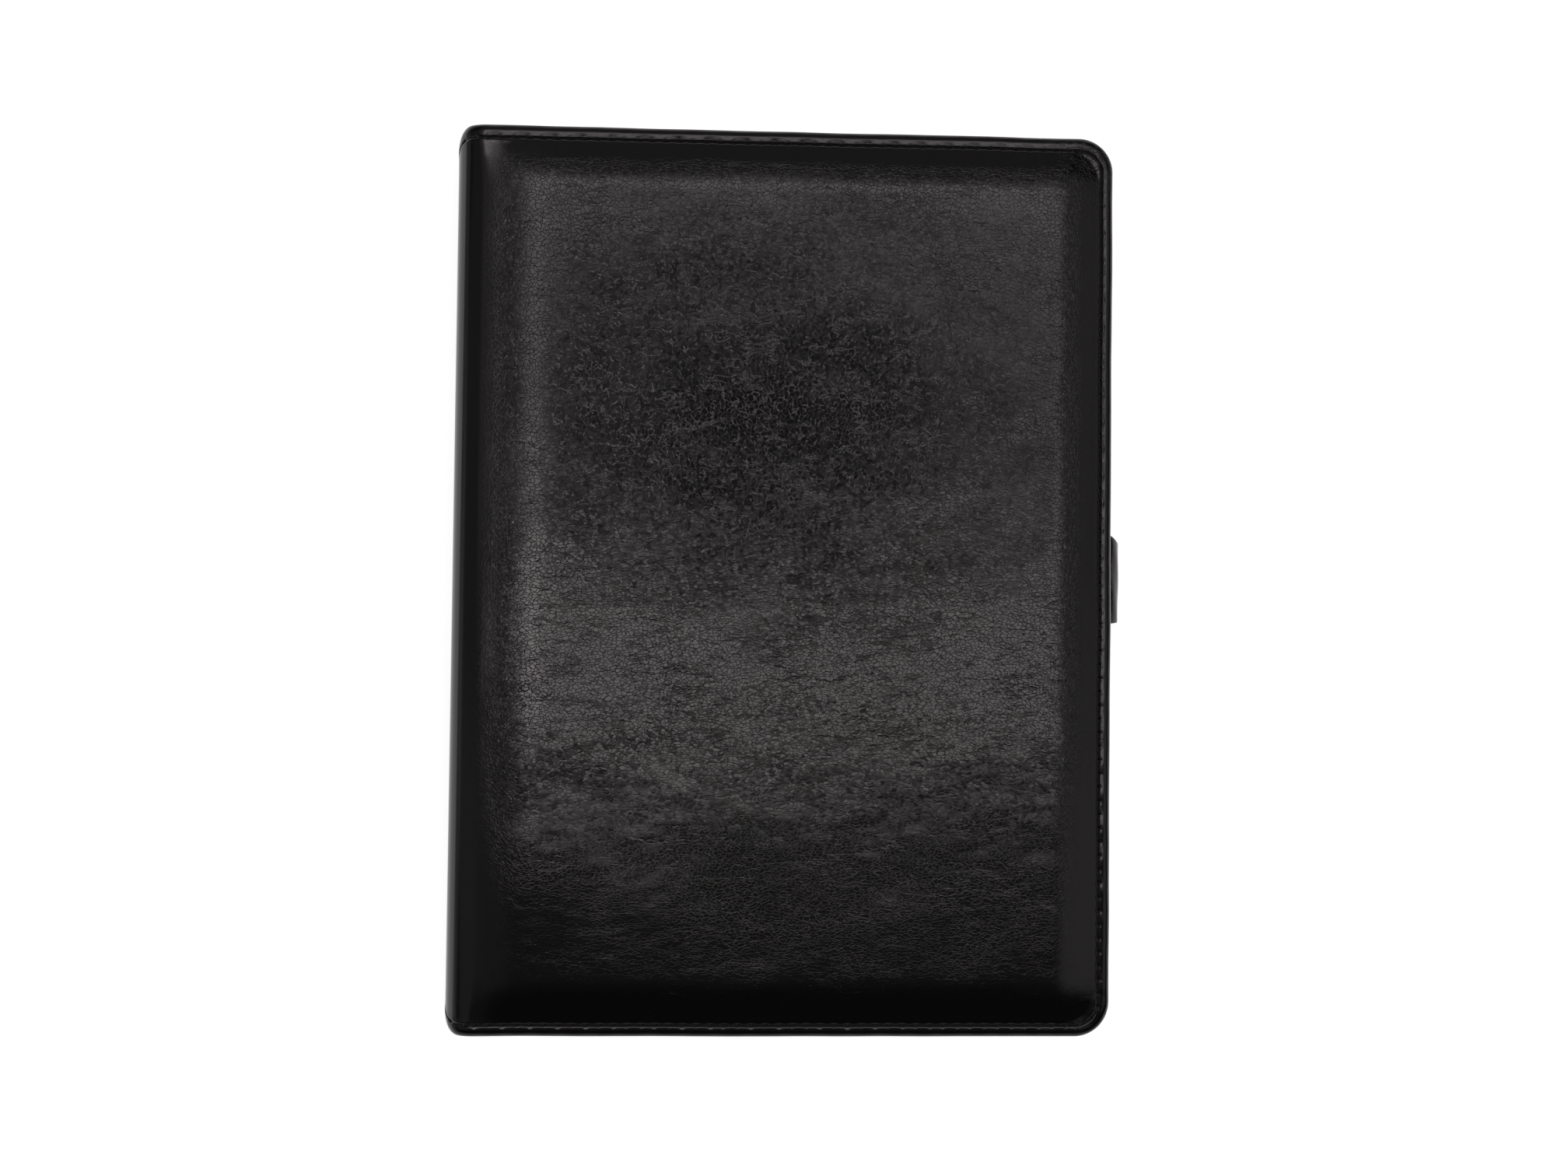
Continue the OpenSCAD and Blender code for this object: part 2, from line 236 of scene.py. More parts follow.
def pad_share(u, v):
    """0 on the sewn border, 1 on the flat of the pad; steepest just inside the seam."""
    foot_in, foot_w = 3.4, 12.0          # the rise along the sewn edges
    steep_in, steep_w, ease_w = 5.5, 7, 15     # the rise beside the spine: a slope and its soft end
    ends = np.clip((pad_ends(u, v) - foot_in) / foot_w, 0, 1)
    slope = np.clip(past_outline(u) - steep_in, 0, steep_w)
    easing = np.clip((past_outline(u) - (steep_in + steep_w)) / ease_w, 0, 1)
    rise = (slope + ease_w * (easing - easing ** 3 + easing ** 4 / 2)) / (steep_w + ease_w / 2)
    return np.sin(ends * math.pi / 2) * rise


def grain_share(u, v):
    """0 where the leather is stretched smooth round the pad, 1 where its grain shows.

    The grain is stronger at the fore-edge corners and weaker towards the foot, most of all by the spine."""
    loose = smooth((past_outline(u) - 9) / 6) * smooth((flat_w - u - 6.5) / 5)
    loose = 0.12 + 0.88 * loose * smooth((half_h - np.abs(v) - 7.2) / 3.2)
    corner = near_corner(u, v, 6, 9) * smooth((u - fold_end) / 20)
    foot = smooth((-28 - v) / 56) * (0.80 + 0.13 * smooth((75 - u) / 60))
    return np.clip(loose + 0.8 * corner, 0, 1) * (1 - foot)


def grain_place(points):
    """Where the grain is drawn: closer together across the stretched borders and down the foot half."""
    u, v = points[:, 0], points[:, 1]
    across = u + 4.5 * smooth((past_outline(u) - 9) / 9) - 4 * smooth((flat_w - u - 7) / 8)
    border = -3 * np.sign(v) * smooth((15 - half_h + np.abs(v)) / 9)
    down = 5.4 * np.logaddexp(0, (8 - v) / 12)
    return np.stack([across, v - border - down], 1)


def corner_drop(u, v):
    """How far the thinned corners at the fore edge fall below the rest of the border."""
    return 0.6 * smooth((u - flat_w + 12) / 12) * smooth((np.abs(v) - half_h + 12) / 12)


def relief(u, v, seed):
    """Height of the leather over its sewn border: pad, slow unevenness and creases."""
    crease_h, crease_w = 0.02, 0.28
    pad = pad_share(u, v)
    slow = 0.12 * layered_noise(u / 34, v / 30, seed) + 0.025 * layered_noise(u / 10, v / 8, seed + 10)
    bend_u = 6 * gradient_noise(u / 26, v / 22, seed + 20)
    bend_v = 5 * gradient_noise(u / 24, v / 20, seed + 21)
    ridge = 1 - np.abs(layered_noise((u + bend_u) / 15, (v + bend_v) / 4.6, seed + 22))
    lower = 0.25 + 0.75 * smooth((20 - v) / 60)                # creases are deeper down the foot half
    creases = -crease_h * lower * np.clip(ridge - (1 - crease_w), 0, 1) / crease_w
    strip = 0.02 * layered_noise(u / 5, v / 16, seed + 30, 3) * smooth((u - fold_end + 4) / 8)
    corner = near_corner(u, v, 7, 5) * smooth((u - fold_end) / 20)
    strip += 0.10 * corner * layered_noise(u / 4.5, v / 4.5, seed + 31)
    return PAD_RISE * pad + pad * (slow + creases) + (1 - pad) * strip - corner_drop(u, v)


def seam_inset(s):
    """Distance of the stitches from the edge at distance s along the seam."""
    return SEAM_D + HEAD_SEAM * smooth((core_w + SEAM_ARC - s) / SEAM_ARC)


def seam_relief(d, s):
    """The sewn groove, its holes and the puckers beside it; d from the edge, s along the seam."""
    groove_w = 0.28
    phase = (s / PITCH) % 1
    to_hole = np.minimum(phase, 1 - phase) * PITCH
    hole = bell(to_hole, 0.5)
    inward = d - seam_inset(s)
    groove = -0.30 * bell(inward, groove_w) * (0.7 + 0.3 * hole)
    pit = -0.28 * hole * bell(inward, groove_w)
    outer = 0.06 * (1 - smooth((inward + 0.55) / 0.6)) * (1 - 0.6 * hole * bell(inward + 0.5, 0.4))
    inner = 0.04 * bell(inward - 0.58, 0.5) * (1 - 0.6 * hole)
    wave = 0.04 * np.sin(2 * math.pi * s / 7.3 + 2.0 * np.sin(s / 21.0)) * bell(d - 1.5, 1.0)
    return groove + pit + outer + inner + wave


def band_profile():
    """Rows of the edge band as (distance from the edge, drop, unrolled distance, share of the top)."""
    rows = [(d, 0.0, d, 1.0) for d in (*BAND_D, ROLL_R)]
    depth = (edge_t - 0.04) / 2
    for k in range(1, ROLL_STEPS + 1):
        a = math.pi * k / ROLL_STEPS
        rows.append((ROLL_R * (1 - math.sin(a)), depth * (math.cos(a) - 1), ROLL_R - a * ROLL_R,
                     max(0.0, math.cos(a))))
    for d in TURNED:
        rows.append((d, -2 * depth, -2 * ROLL_R - (d - ROLL_R), 0.0))
    rows.append((TURNED[-1], -2 * depth + lining_t, -2 * ROLL_R - 2.0, 0.0))
    return rows


def band_columns(cells_u, cells_v):
    """Columns of the edge band: outline point, inward direction and distance along the seam."""
    columns = []
    for i in range(cells_u * FINE + 1):
        u = core_w * i / (cells_u * FINE)
        columns.append((u, half_h, 0, -1, u))
    for j in range(1, ARC_STEPS):
        a = math.pi / 2 * (1 - j / ARC_STEPS)
        columns.append((core_w + corner_r * math.cos(a), core_h + corner_r * math.sin(a),
                        -math.cos(a), -math.sin(a), core_w + SEAM_ARC * j / ARC_STEPS))
    for i in range(cells_v * FINE + 1):
        v = core_h * (1 - 2 * i / (cells_v * FINE))
        columns.append((flat_w, v, -1, 0, core_w + SEAM_ARC + core_h - v))
    for j in range(1, ARC_STEPS):
        a = -math.pi / 2 * j / ARC_STEPS
        columns.append((core_w + corner_r * math.cos(a), -core_h + corner_r * math.sin(a),
                        -math.cos(a), -math.sin(a), SEAM_L - core_w - SEAM_ARC * (1 - j / ARC_STEPS)))
    for i in range(cells_u * FINE + 1):
        u = core_w * (1 - i / (cells_u * FINE))
        columns.append((u, -half_h, 0, 1, SEAM_L - u))
    return np.array(columns)


def cover_skin(name, seed, back):
    """Half of the cover's leather, from the middle of the spine to the turned edge."""
    cells_u, cells_v = round(core_w / CELL), round(2 * core_h / CELL)
    grid_u, grid_v = np.meshgrid(np.linspace(0, core_w, cells_u + 1),
                                 np.linspace(-core_h, core_h, cells_v + 1), indexing="ij")
    grid_u, grid_v = grid_u.ravel(), grid_v.ravel()
    columns = band_columns(cells_u, cells_v)
    along = columns[:, 4]
    rows = band_profile()
    wobble = 0.10 * gradient_noise(along / 17, np.full(len(along), 0.5), seed + 40)
    wobble *= smooth(columns[:, 0] / 12)
    highest = PAD_RISE - CONTACT_GAP if back else math.inf
    points = [np.stack([grid_u, grid_v, np.minimum(relief(grid_u, grid_v, seed), highest)], 1)]
    flat = [np.stack([grid_u, grid_v], 1)]
    for d, drop, unrolled, top in rows:
        d_here = d + wobble * smooth((8 - d) / 6)
        u = columns[:, 0] + columns[:, 2] * d_here
        v = columns[:, 1] + columns[:, 3] * d_here
        h = top * np.minimum(relief(u, v, seed) + seam_relief(d, along), highest) + drop
        points.append(np.stack([u, v, h], 1))
        flat.append(np.stack([columns[:, 0] + columns[:, 2] * unrolled,
                              columns[:, 1] + columns[:, 3] * unrolled], 1))
    points, flat = np.concatenate(points), np.concatenate(flat)
    faces = skin_faces(cells_u, cells_v, len(columns), len(rows))
    grain = grain_share(flat[:, 0], flat[:, 1])
    place = grain_place(flat) * [-1 if back else 1, 1]
    return make_mesh(name, wrap(points, back), faces, place, {"grain": grain}, flip=back)


def grid_faces(n, m):
    """The faces of a grid of points that has n lines of m points each."""
    return [(i * m + j, (i + 1) * m + j, (i + 1) * m + j + 1, i * m + j + 1)
            for i in range(n - 1) for j in range(m - 1)]


def skin_faces(cells_u, cells_v, n_columns, n_rows):
    """The pad's grid, the strip that joins it to the finer band, and the band."""
    grid = lambda i, j: i * (cells_v + 1) + j
    band = lambda c, r: (cells_u + 1) * (cells_v + 1) + r * n_columns + c
    faces = grid_faces(cells_u + 1, cells_v + 1)
    head = [grid(i, cells_v) for i in range(cells_u + 1)]
    fore = [grid(cells_u, cells_v - j) for j in range(cells_v + 1)]
    foot = [grid(cells_u - i, 0) for i in range(cells_u + 1)]
    column = 0
    for line in (head, fore, foot):
        for a, b in zip(line, line[1:]):
            outer = [band(column + k, 0) for k in range(FINE, -1, -1)]
            faces.append((a, b, *outer))
            column += FINE
        if line is not foot:
            for _ in range(ARC_STEPS):
                faces.append((line[-1], band(column + 1, 0), band(column, 0)))
                column += 1
    for r in range(n_rows - 1):
        faces += [(band(c, r), band(c + 1, r), band(c + 1, r + 1), band(c, r + 1))
                  for c in range(n_columns - 1)]
    return faces


def seam_point(s):
    """Position and direction of the seam at distance s along it, from the spine's head to its foot."""
    inset = float(seam_inset(s))
    along = min(s, SEAM_L - s)
    r = corner_r - inset
    if along < core_w:
        u, v, angle = along, half_h - inset, 0.0
    elif along < core_w + SEAM_ARC:
        a = math.pi / 2 * (1 - (along - core_w) / SEAM_ARC)
        u, v, angle = core_w + r * math.cos(a), core_h + r * math.sin(a), a - math.pi / 2
    else:
        u, v, angle = flat_w - inset, core_h - (along - core_w - SEAM_ARC), -math.pi / 2
    return (u, v, angle) if s <= SEAM_L / 2 else (u, -v, math.pi - angle)


def stitches(places, length, radius, sunk, dip):
    """Short two-ply threads in (u, v, h), each centred on one (u, v, angle) and dipping at its ends."""
    sides, rings = 8, 9
    slant = math.radians(9)
    points, faces, flat = [], [], []
    for k, (u0, v0, angle) in enumerate(places):
        angle += slant
        along, across = (math.cos(angle), math.sin(angle)), (-math.sin(angle), math.cos(angle))
        base = len(points)
        for i in range(rings):
            t = 2 * i / (rings - 1) - 1
            swell = math.sqrt(max(0.05, 1 - abs(t) ** 2.6))
            for j in range(sides):
                a = 2 * math.pi * j / sides
                ply = 1 + 0.16 * math.cos(2 * a + 5.0 * t)
                side = radius * swell * ply * math.cos(a)
                up = radius * 0.85 * swell * ply * math.sin(a) - sunk - dip * t ** 4
                points.append((u0 + along[0] * length / 2 * t + across[0] * side,
                               v0 + along[1] * length / 2 * t + across[1] * side, up))
                flat.append((k * 2 + t, j))
        for i in range(rings - 1):
            for j in range(sides):
                a, b = base + i * sides + j, base + i * sides + (j + 1) % sides
                faces.append((a, a + sides, b + sides, b))
        faces.append(tuple(base + j for j in range(sides)))
        faces.append(tuple(base + (rings - 1) * sides + j for j in reversed(range(sides))))
    return np.array(points), faces, np.array(flat)


def thread(name, back):
    """The cover's own seam: one stitch between each pair of holes."""
    places = [seam_point((k + 0.5) * PITCH) for k in range(STITCHES)]
    points, faces, flat = stitches(places, PITCH * STITCH_SHARE, 0.31, 0.24, 0.34)
    points[:, 2] -= corner_drop(points[:, 0], points[:, 1])
    return make_mesh(name, wrap(points, back), faces, flat, flip=back)


def slab_faces(n, m):
    """The faces of two grids of n by m points, one under the other, with a rim between them."""
    under = n * m
    faces = grid_faces(n, m)
    faces += [tuple(under + k for k in f[::-1]) for f in faces]
    cell = lambda i, j: i * m + j
    rim = [cell(i, 0) for i in range(n)] + [cell(n - 1, j) for j in range(1, m)]
    rim += [cell(i, m - 1) for i in range(n - 2, -1, -1)] + [cell(0, j) for j in range(m - 2, 0, -1)]
    return faces + [(a, under + a, under + b, b) for a, b in zip(rim, rim[1:] + rim[:1])]


def lining(name, back):
    """Half of the lining: a thin woven sheet from the middle of the spine to the turned edge.

    It is drawn thinner in the middle of the fold, where it stands up when the cover lies open."""
    reach = flat_w - lining_in
    edge_v = half_h - lining_in
    r = corner_r - lining_in
    fold_step = 0.6
    cols = [k * fold_step for k in range(int(fold_end / fold_step) + 1)]
    cols += list(np.linspace(cols[-1] + 2, reach, 50))
    rows = np.linspace(-1, 1, 90)
    top, low = [], []
    for u in cols:
        hollow = math.sin(math.pi * min(max((u - half_span) / fold_arc, 0), 1)) ** 2
        over = max(0.0, u - (reach - r))
        limit = edge_v - r + math.sqrt(max(0.0, r * r - over * over))
        for w in rows:
            top.append((u, w * limit, -edge_t + lining_t + 0.1 * hollow))
            low.append((u, w * limit, -edge_t + 0.47 * hollow))
    points = np.array(top + low)
    faces = slab_faces(len(cols), len(rows))
    return make_mesh(name, wrap(points, back), faces, points[:, :2], flip=back)


# ---------------------------------------------------------------- pockets, card slots and pen loop


def inside(points, back):
    """(x, y, h) points to the cover's frame; h is the height above the lining, towards the pages."""
    x, y, h = np.asarray(points).T
    return np.stack([x, y, thick - inner_z + h if back else inner_z - h], 1)


def with_close_lines(line):
    """Adds mesh lines near both ends, where stitch rows and creases run."""
    return np.unique(np.round(np.concatenate(
        [line, [line[0] + k for k in CLOSE_LINES], [line[-1] - k for k in CLOSE_LINES]]), 4))


def sheet_outline(xs, ys):
    """Columns of a sheet's rim: a point on its inner rectangle and the way outward."""
    sides = (([(x, ys[-1]) for x in xs], math.pi / 2), ([(xs[-1], y) for y in ys[::-1]], 0),
             ([(x, ys[0]) for x in xs[::-1]], -math.pi / 2), ([(xs[0], y) for y in ys], math.pi))
    columns = []
    for line, start in sides:
        outward = (round(math.cos(start)), round(math.sin(start)))
        columns += [(*point, *outward) for point in line]
        columns += [(*line[-1], math.cos(a), math.sin(a))
                    for a in np.linspace(start, start - math.pi / 2, SHEET_ARC)[1:-1]]
    return np.array(columns)


def leather_sheet(name, low, high, faces_at, back):
    """A thin sheet with rolled edges. faces_at(x, y) gives its page side and its lining side, as
    heights above the lining."""
    xs, ys = (with_close_lines(np.linspace(low[k] + SHEET_CORNER, high[k] - SHEET_CORNER,
                                           round((high[k] - low[k]) / 2) + 1)) for k in (0, 1))
    columns = sheet_outline(xs, ys)
    core = np.array([(x, y) for x in xs for y in ys])
    parts = [np.concatenate([core, np.full((len(core), 1), SHEET_CORNER)], 1)]
    for d in RING_D:
        ring = columns[:, :2] + columns[:, 2:] * (SHEET_CORNER - d)
        parts.append(np.concatenate([ring, np.full((len(ring), 1), d)], 1))
    flat = np.concatenate(parts)
    edge = np.minimum.reduce([flat[:, 0] - low[0], high[0] - flat[:, 0],
                              flat[:, 1] - low[1], high[1] - flat[:, 1]])
    d = np.where(np.arange(len(flat)) < len(core), edge, flat[:, 2])
    page, under = faces_at(flat[:, 0], flat[:, 1])
    round_off = np.sqrt(1 - (1 - np.clip(d / 0.3, 0, 1)) ** 2)
    middle, half = (page + under) / 2, (page - under) / 2 * round_off
    points = np.concatenate([np.stack([flat[:, 0], flat[:, 1], middle + half], 1),
                             np.stack([flat[:, 0], flat[:, 1], middle - half], 1)])
    faces = sheet_faces(len(xs), len(ys), len(columns))
    last_ring = len(flat) - len(columns)
    under_of = lambda k: k if k >= last_ring else len(flat) + k     # both sides share the outermost ring
    faces += [tuple(under_of(k) for k in f[::-1]) for f in faces]
    used = np.unique([k for f in faces for k in f])
    place = np.full(len(points), -1)
    place[used] = np.arange(len(used))
    faces = [tuple(int(place[k]) for k in f) for f in faces]
    return make_mesh(name, inside(points[used], back), faces, points[used][:, :2], flip=not back)


def sheet_faces(nx, ny, n_columns):
    """One side of a sheet: its grid, the strip that joins it to the rim, and the rim's rings."""
    grid = lambda i, j: i * ny + j
    band = lambda c, r: nx * ny + r * n_columns + c % n_columns
    faces = grid_faces(nx, ny)
    sides = ([grid(i, ny - 1) for i in range(nx)], [grid(nx - 1, j) for j in range(ny - 1, -1, -1)],
             [grid(i, 0) for i in range(nx - 1, -1, -1)], [grid(0, j) for j in range(ny)])
    column = 0
    for line in sides:
        for a, b in zip(line, line[1:]):
            faces.append((a, b, band(column + 1, 0), band(column, 0)))
            column += 1
        for _ in range(SHEET_ARC - 1):
            faces.append((line[-1], band(column + 1, 0), band(column, 0)))
            column += 1
    for r in range(len(RING_D) - 1):
        faces += [(band(c, r), band(c + 1, r), band(c + 1, r + 1), band(c, r + 1))
                  for c in range(n_columns)]
    return faces


def sewn_row(name, columns_x, y0, y1, height, radius, back):
    """Rows of stitches along the height of the cover, on the page side of a sheet at that height."""
    count = int((y1 - y0) / PITCH)
    step = (y1 - y0) / count
    places = [(x, y0 + (k + 0.5) * step, math.pi / 2) for x in columns_x for k in range(count)]
    points, faces, flat = stitches(places, step * STITCH_SHARE, radius, radius * 0.9, radius * 0.6)
    points[:, 2] += height
    return make_mesh(name, inside(points, back), faces, flat, flip=not back)


def row_dent(x, y, row_x, y0, y1, depth):
    """The groove that a row of stitches pulls into its sheet."""
    along = smooth((y - y0 + 1) / 1.5) * smooth((y1 + 1 - y) / 1.5)
    return depth * bell(x - row_x, 0.3) * along


def pocket(side_name, back):
    """One pocket: a sheet that lies on the lining at its sewn sides and over the notebook's card."""
    low, high = box_mm(side_name + "_sleeve")
    row_low, row_high = box_mm(side_name + "_sleeve_stitching")
    row_x = (row_low[0] + row_high[0]) / 2
    page_h = high[2] - low[2]
    under_h = page_h - 0.58

    def faces_at(x, y):
        margin = np.minimum(half_h - lining_in - np.abs(y), high[0] - x)
        over_tab = np.zeros_like(x)
        if back:
            near_loop = smooth((loop_half + 1.6 - np.abs(y - loop_mid)) / 1.2)
            over_tab = near_loop * smooth((x - low[0] - 40) / 20)
        lift = 0.43 * smooth((2.9 - margin) / 1.7) * (1 - over_tab)
        crease = 0.10 * bell(margin - 1.1, 0.35)
        slow = 0.02 * layered_noise(x / 30, y / 26, 171 if back else 151)
        page = page_h - lift - crease - 0.02 - np.abs(slow)
        page = page - row_dent(x, y, row_x, row_low[1], row_high[1], 0.33)
        return page, under_h - lift + 0.14 * over_tab

    sheet = leather_sheet(side_name + "_pocket", low, high, faces_at, back)
    sewn = sewn_row(side_name + "_pocket_thread", [row_x], row_low[1], row_high[1], page_h, 0.2, back)
    return sheet, sewn, high - low


def card_slot(k):
    """One card slot: a thin sheet, sewn at its sides and open at its upper edge."""
    low, high = box_mm(f"card_slot_{k}")
    row_low, row_high = box_mm("card_slot_stitching")
    page_h, under_h = inner_z - low[2], inner_z - high[2]

    def faces_at(x, y):
        page = page_h - 0.01 - 0.07 * bell(high[1] - y - 2.2, 0.3)
        if k == 1:
            for row_x in (row_low[0] + SLOT_ROW_HALF, row_high[0] - SLOT_ROW_HALF):
                page = page - row_dent(x, y, row_x, row_low[1], row_high[1], 0.13)
        return page, np.full_like(x, under_h + 0.01)

    return leather_sheet(f"card_slot_sheet_{k}", low, high, faces_at, False), high - low


def loop_ring():
    """The pen loop: a strip of leather closed on itself, its outward side cut back at the head."""
    turns, length_steps = 72, 26
    wall, inner_cut = 0.9, 8             # inner_cut keeps the grain of the inner side apart
    rounded = [(math.cos(a), math.sin(a)) for a in np.linspace(0, math.pi, 7)[1:-1]]
    profile = [(t, 1.0) for t in np.linspace(-1, 1, length_steps)]
    profile += [("head", r) for r in rounded] + [(t, -1.0) for t in np.linspace(1, -1, length_steps)]
    profile += [("foot", r) for r in rounded]
    points, flat = [], []
    for i in range(turns):
        a = 2 * math.pi * i / turns
        outward = max(0.0, math.cos(a))
        y_head = loop_mid + loop_half - 2.4 * outward ** 1.5
        y_foot = loop_mid - loop_half + 0.5 * outward
        for where, side in profile:
            if where == "head":
                y, face = y_head - wall / 2 + wall / 2 * side[1], side[0]
            elif where == "foot":
                y, face = y_foot + wall / 2 - wall / 2 * side[1], -side[0]
            else:
                y = (y_head + y_foot) / 2 + (y_head - y_foot - wall) / 2 * where
                face = side
            wave = 0.05 * math.sin(3 * a + y / 5) + 0.04 * math.sin(7 * a - y / 2.3)
            r = loop_r - wall / 2 + (wall / 2 - 0.04) * face + (wave - 0.09) * (face > 0)
            points.append((loop_x + r * math.cos(a), y, loop_z + r * math.sin(a)))
            flat.append((loop_r * a, y + inner_cut * (face < 0)))
    n = len(profile)
    faces = [(i * n + j, i * n + (j + 1) % n, (i + 1) % turns * n + (j + 1) % n, (i + 1) % turns * n + j)
             for i in range(turns) for j in range(n)]
    grain = np.full(len(points), 0.45)
    return make_mesh("pen_loop_band", points, faces, np.array(flat), {"grain": grain}, flip=True)


def loop_root():
    """The strip that holds the loop: from under the back pocket, over the edge, to the ring's underside."""
    low, high = box_mm("pen_loop_tab")
    path = np.array([(low[0] + 0.1, low[2] + 0.28, 0.25), (fore_x - 3.0, low[2] + 0.28, 0.25),
                     (fore_x - 1.5, low[2] + 0.30, 0.25), (fore_x - 0.9, low[2] + 0.48, 0.30),
                     (fore_x - 0.3, low[2] + 0.78, 0.32), (fore_x + 0.3, low[2] + 1.02, 0.30),
                     (fore_x + 1.0, low[2] + 1.30, 0.26), (fore_x + 1.7, low[2] + 1.72, 0.18),
                     (fore_x + 2.1, low[2] + 2.08, 0.06)])      # x, z and half the thickness
    steps = np.linspace(0, len(path) - 1, 41)
    px, pz, half = (np.interp(steps, np.arange(len(path)), path[:, k]) for k in range(3))
    soften = np.array([0.25, 0.5, 0.25])
    for _ in range(3):
        px[1:-1], pz[1:-1] = np.convolve(px, soften, "valid"), np.convolve(pz, soften, "valid")
    normal = np.stack([-np.gradient(pz), np.gradient(px)], 1)
    normal /= np.linalg.norm(normal, axis=1, keepdims=True)
    widths = np.linspace(-1, 1, 24)
    rounded = 0.05                       # share of the half width that is rounded off
    points, flat = [], []
    for face in (1, -1):
        for i in range(len(px)):
            for w in widths:
                past = max(0.0, (abs(w) - (1 - rounded)) / rounded)
                out = math.sqrt(max(0.0, 1 - past ** 2)) * half[i] * face
                points.append((px[i] + normal[i, 0] * out, loop_mid + (loop_half - 0.15) * w,
                               pz[i] + normal[i, 1] * out))
                flat.append((i * 0.2, 12 * w + 30 * face))
    faces = slab_faces(len(px), len(widths))
    grain = np.full(len(points), 0.3)
    return make_mesh("pen_loop_root", points, faces, np.array(flat), {"grain": grain}, flip=True)


# ---------------------------------------------------------------- materials


def new_material(name):
    material = bpy.data.materials.new(name)
    material.use_nodes = True
    tree = material.node_tree
    return material, tree, tree.nodes["Principled BSDF"]


class Nodes:
    """Short calls for the shader nodes that the materials and the sky share."""

    def __init__(self, tree):
        self.tree = tree

    def feed(self, node, key, value):
        """Links a socket to an input, or sets the input to a constant."""
        if isinstance(value, bpy.types.NodeSocket):
            self.tree.links.new(value, node.inputs[key])
        else:
            node.inputs[key].default_value = value

    def add(self, kind, inputs=None, **settings):
        node = self.tree.nodes.new("ShaderNode" + kind)
        for key, value in settings.items():
            setattr(node, key, value)
        for key, value in (inputs or {}).items():
            self.feed(node, key, value)
        return node

    def math(self, operation, a, b=0.0):
        return self.add("Math", {0: a, 1: b}, operation=operation).outputs[0]

    def plus(self, a, b):
        return self.math("ADD", a, b)

    def minus(self, a, b):
        return self.math("SUBTRACT", a, b)

    def times(self, a, b):
        return self.math("MULTIPLY", a, b)

    def vector(self, operation, a, b, output="Vector"):
        return self.add("VectorMath", {0: a, 1: b}, operation=operation).outputs[output]

    def span(self, value, low, high, to_low=0.0, to_high=1.0):
        return self.add("MapRange", {"Value": value, "From Min": low, "From Max": high,
                                     "To Min": to_low, "To Max": to_high}).outputs[0]

    def smooth_span(self, value, low, high):
        """0 at low and 1 at high, with a soft start and end."""
        return self.add("MapRange", {"Value": value, "From Min": low, "From Max": high},
                        interpolation_type="SMOOTHSTEP").outputs[0]

    def peak(self, value, middle, reach):
        """1 where the value is at the middle, softly down to 0 at that distance from it."""
        return self.smooth_span(self.math("ABSOLUTE", self.minus(value, middle)), reach, 0.0)

    def mix(self, share, low, high):
        return self.add("Mix", {0: share, 6: low, 7: high}, data_type="RGBA").outputs[2]

    def flat_mm(self):
        """The flat (u, v) coordinate in millimetres."""
        uv = self.add("UVMap", uv_map="flat").outputs[0]
        return self.add("VectorMath", {0: uv, 1: (1 / UV_PER_MM,) * 3, 2: (0.37, 1.71, 0.43)},
                        operation="MULTIPLY_ADD").outputs[0]

    def object_mm(self):
        """The object's own coordinate in millimetres."""
        return self.stretch(self.add("TexCoord").outputs["Object"], 1000, 1000, 1000)

    def noise(self, vector, scale, detail=3.0, roughness=0.55):
        return self.add("TexNoise", {"Vector": vector, "Scale": scale, "Detail": detail,
                                     "Roughness": roughness}).outputs[0]

    def stretch(self, vector, x, y, z=1.0):
        return self.vector("MULTIPLY", vector, (x, y, z))

    def bump(self, height, depth_mm):
        return self.add("Bump", {"Height": height, "Distance": depth_mm * MM,
                                 "Strength": 1.0}).outputs[0]


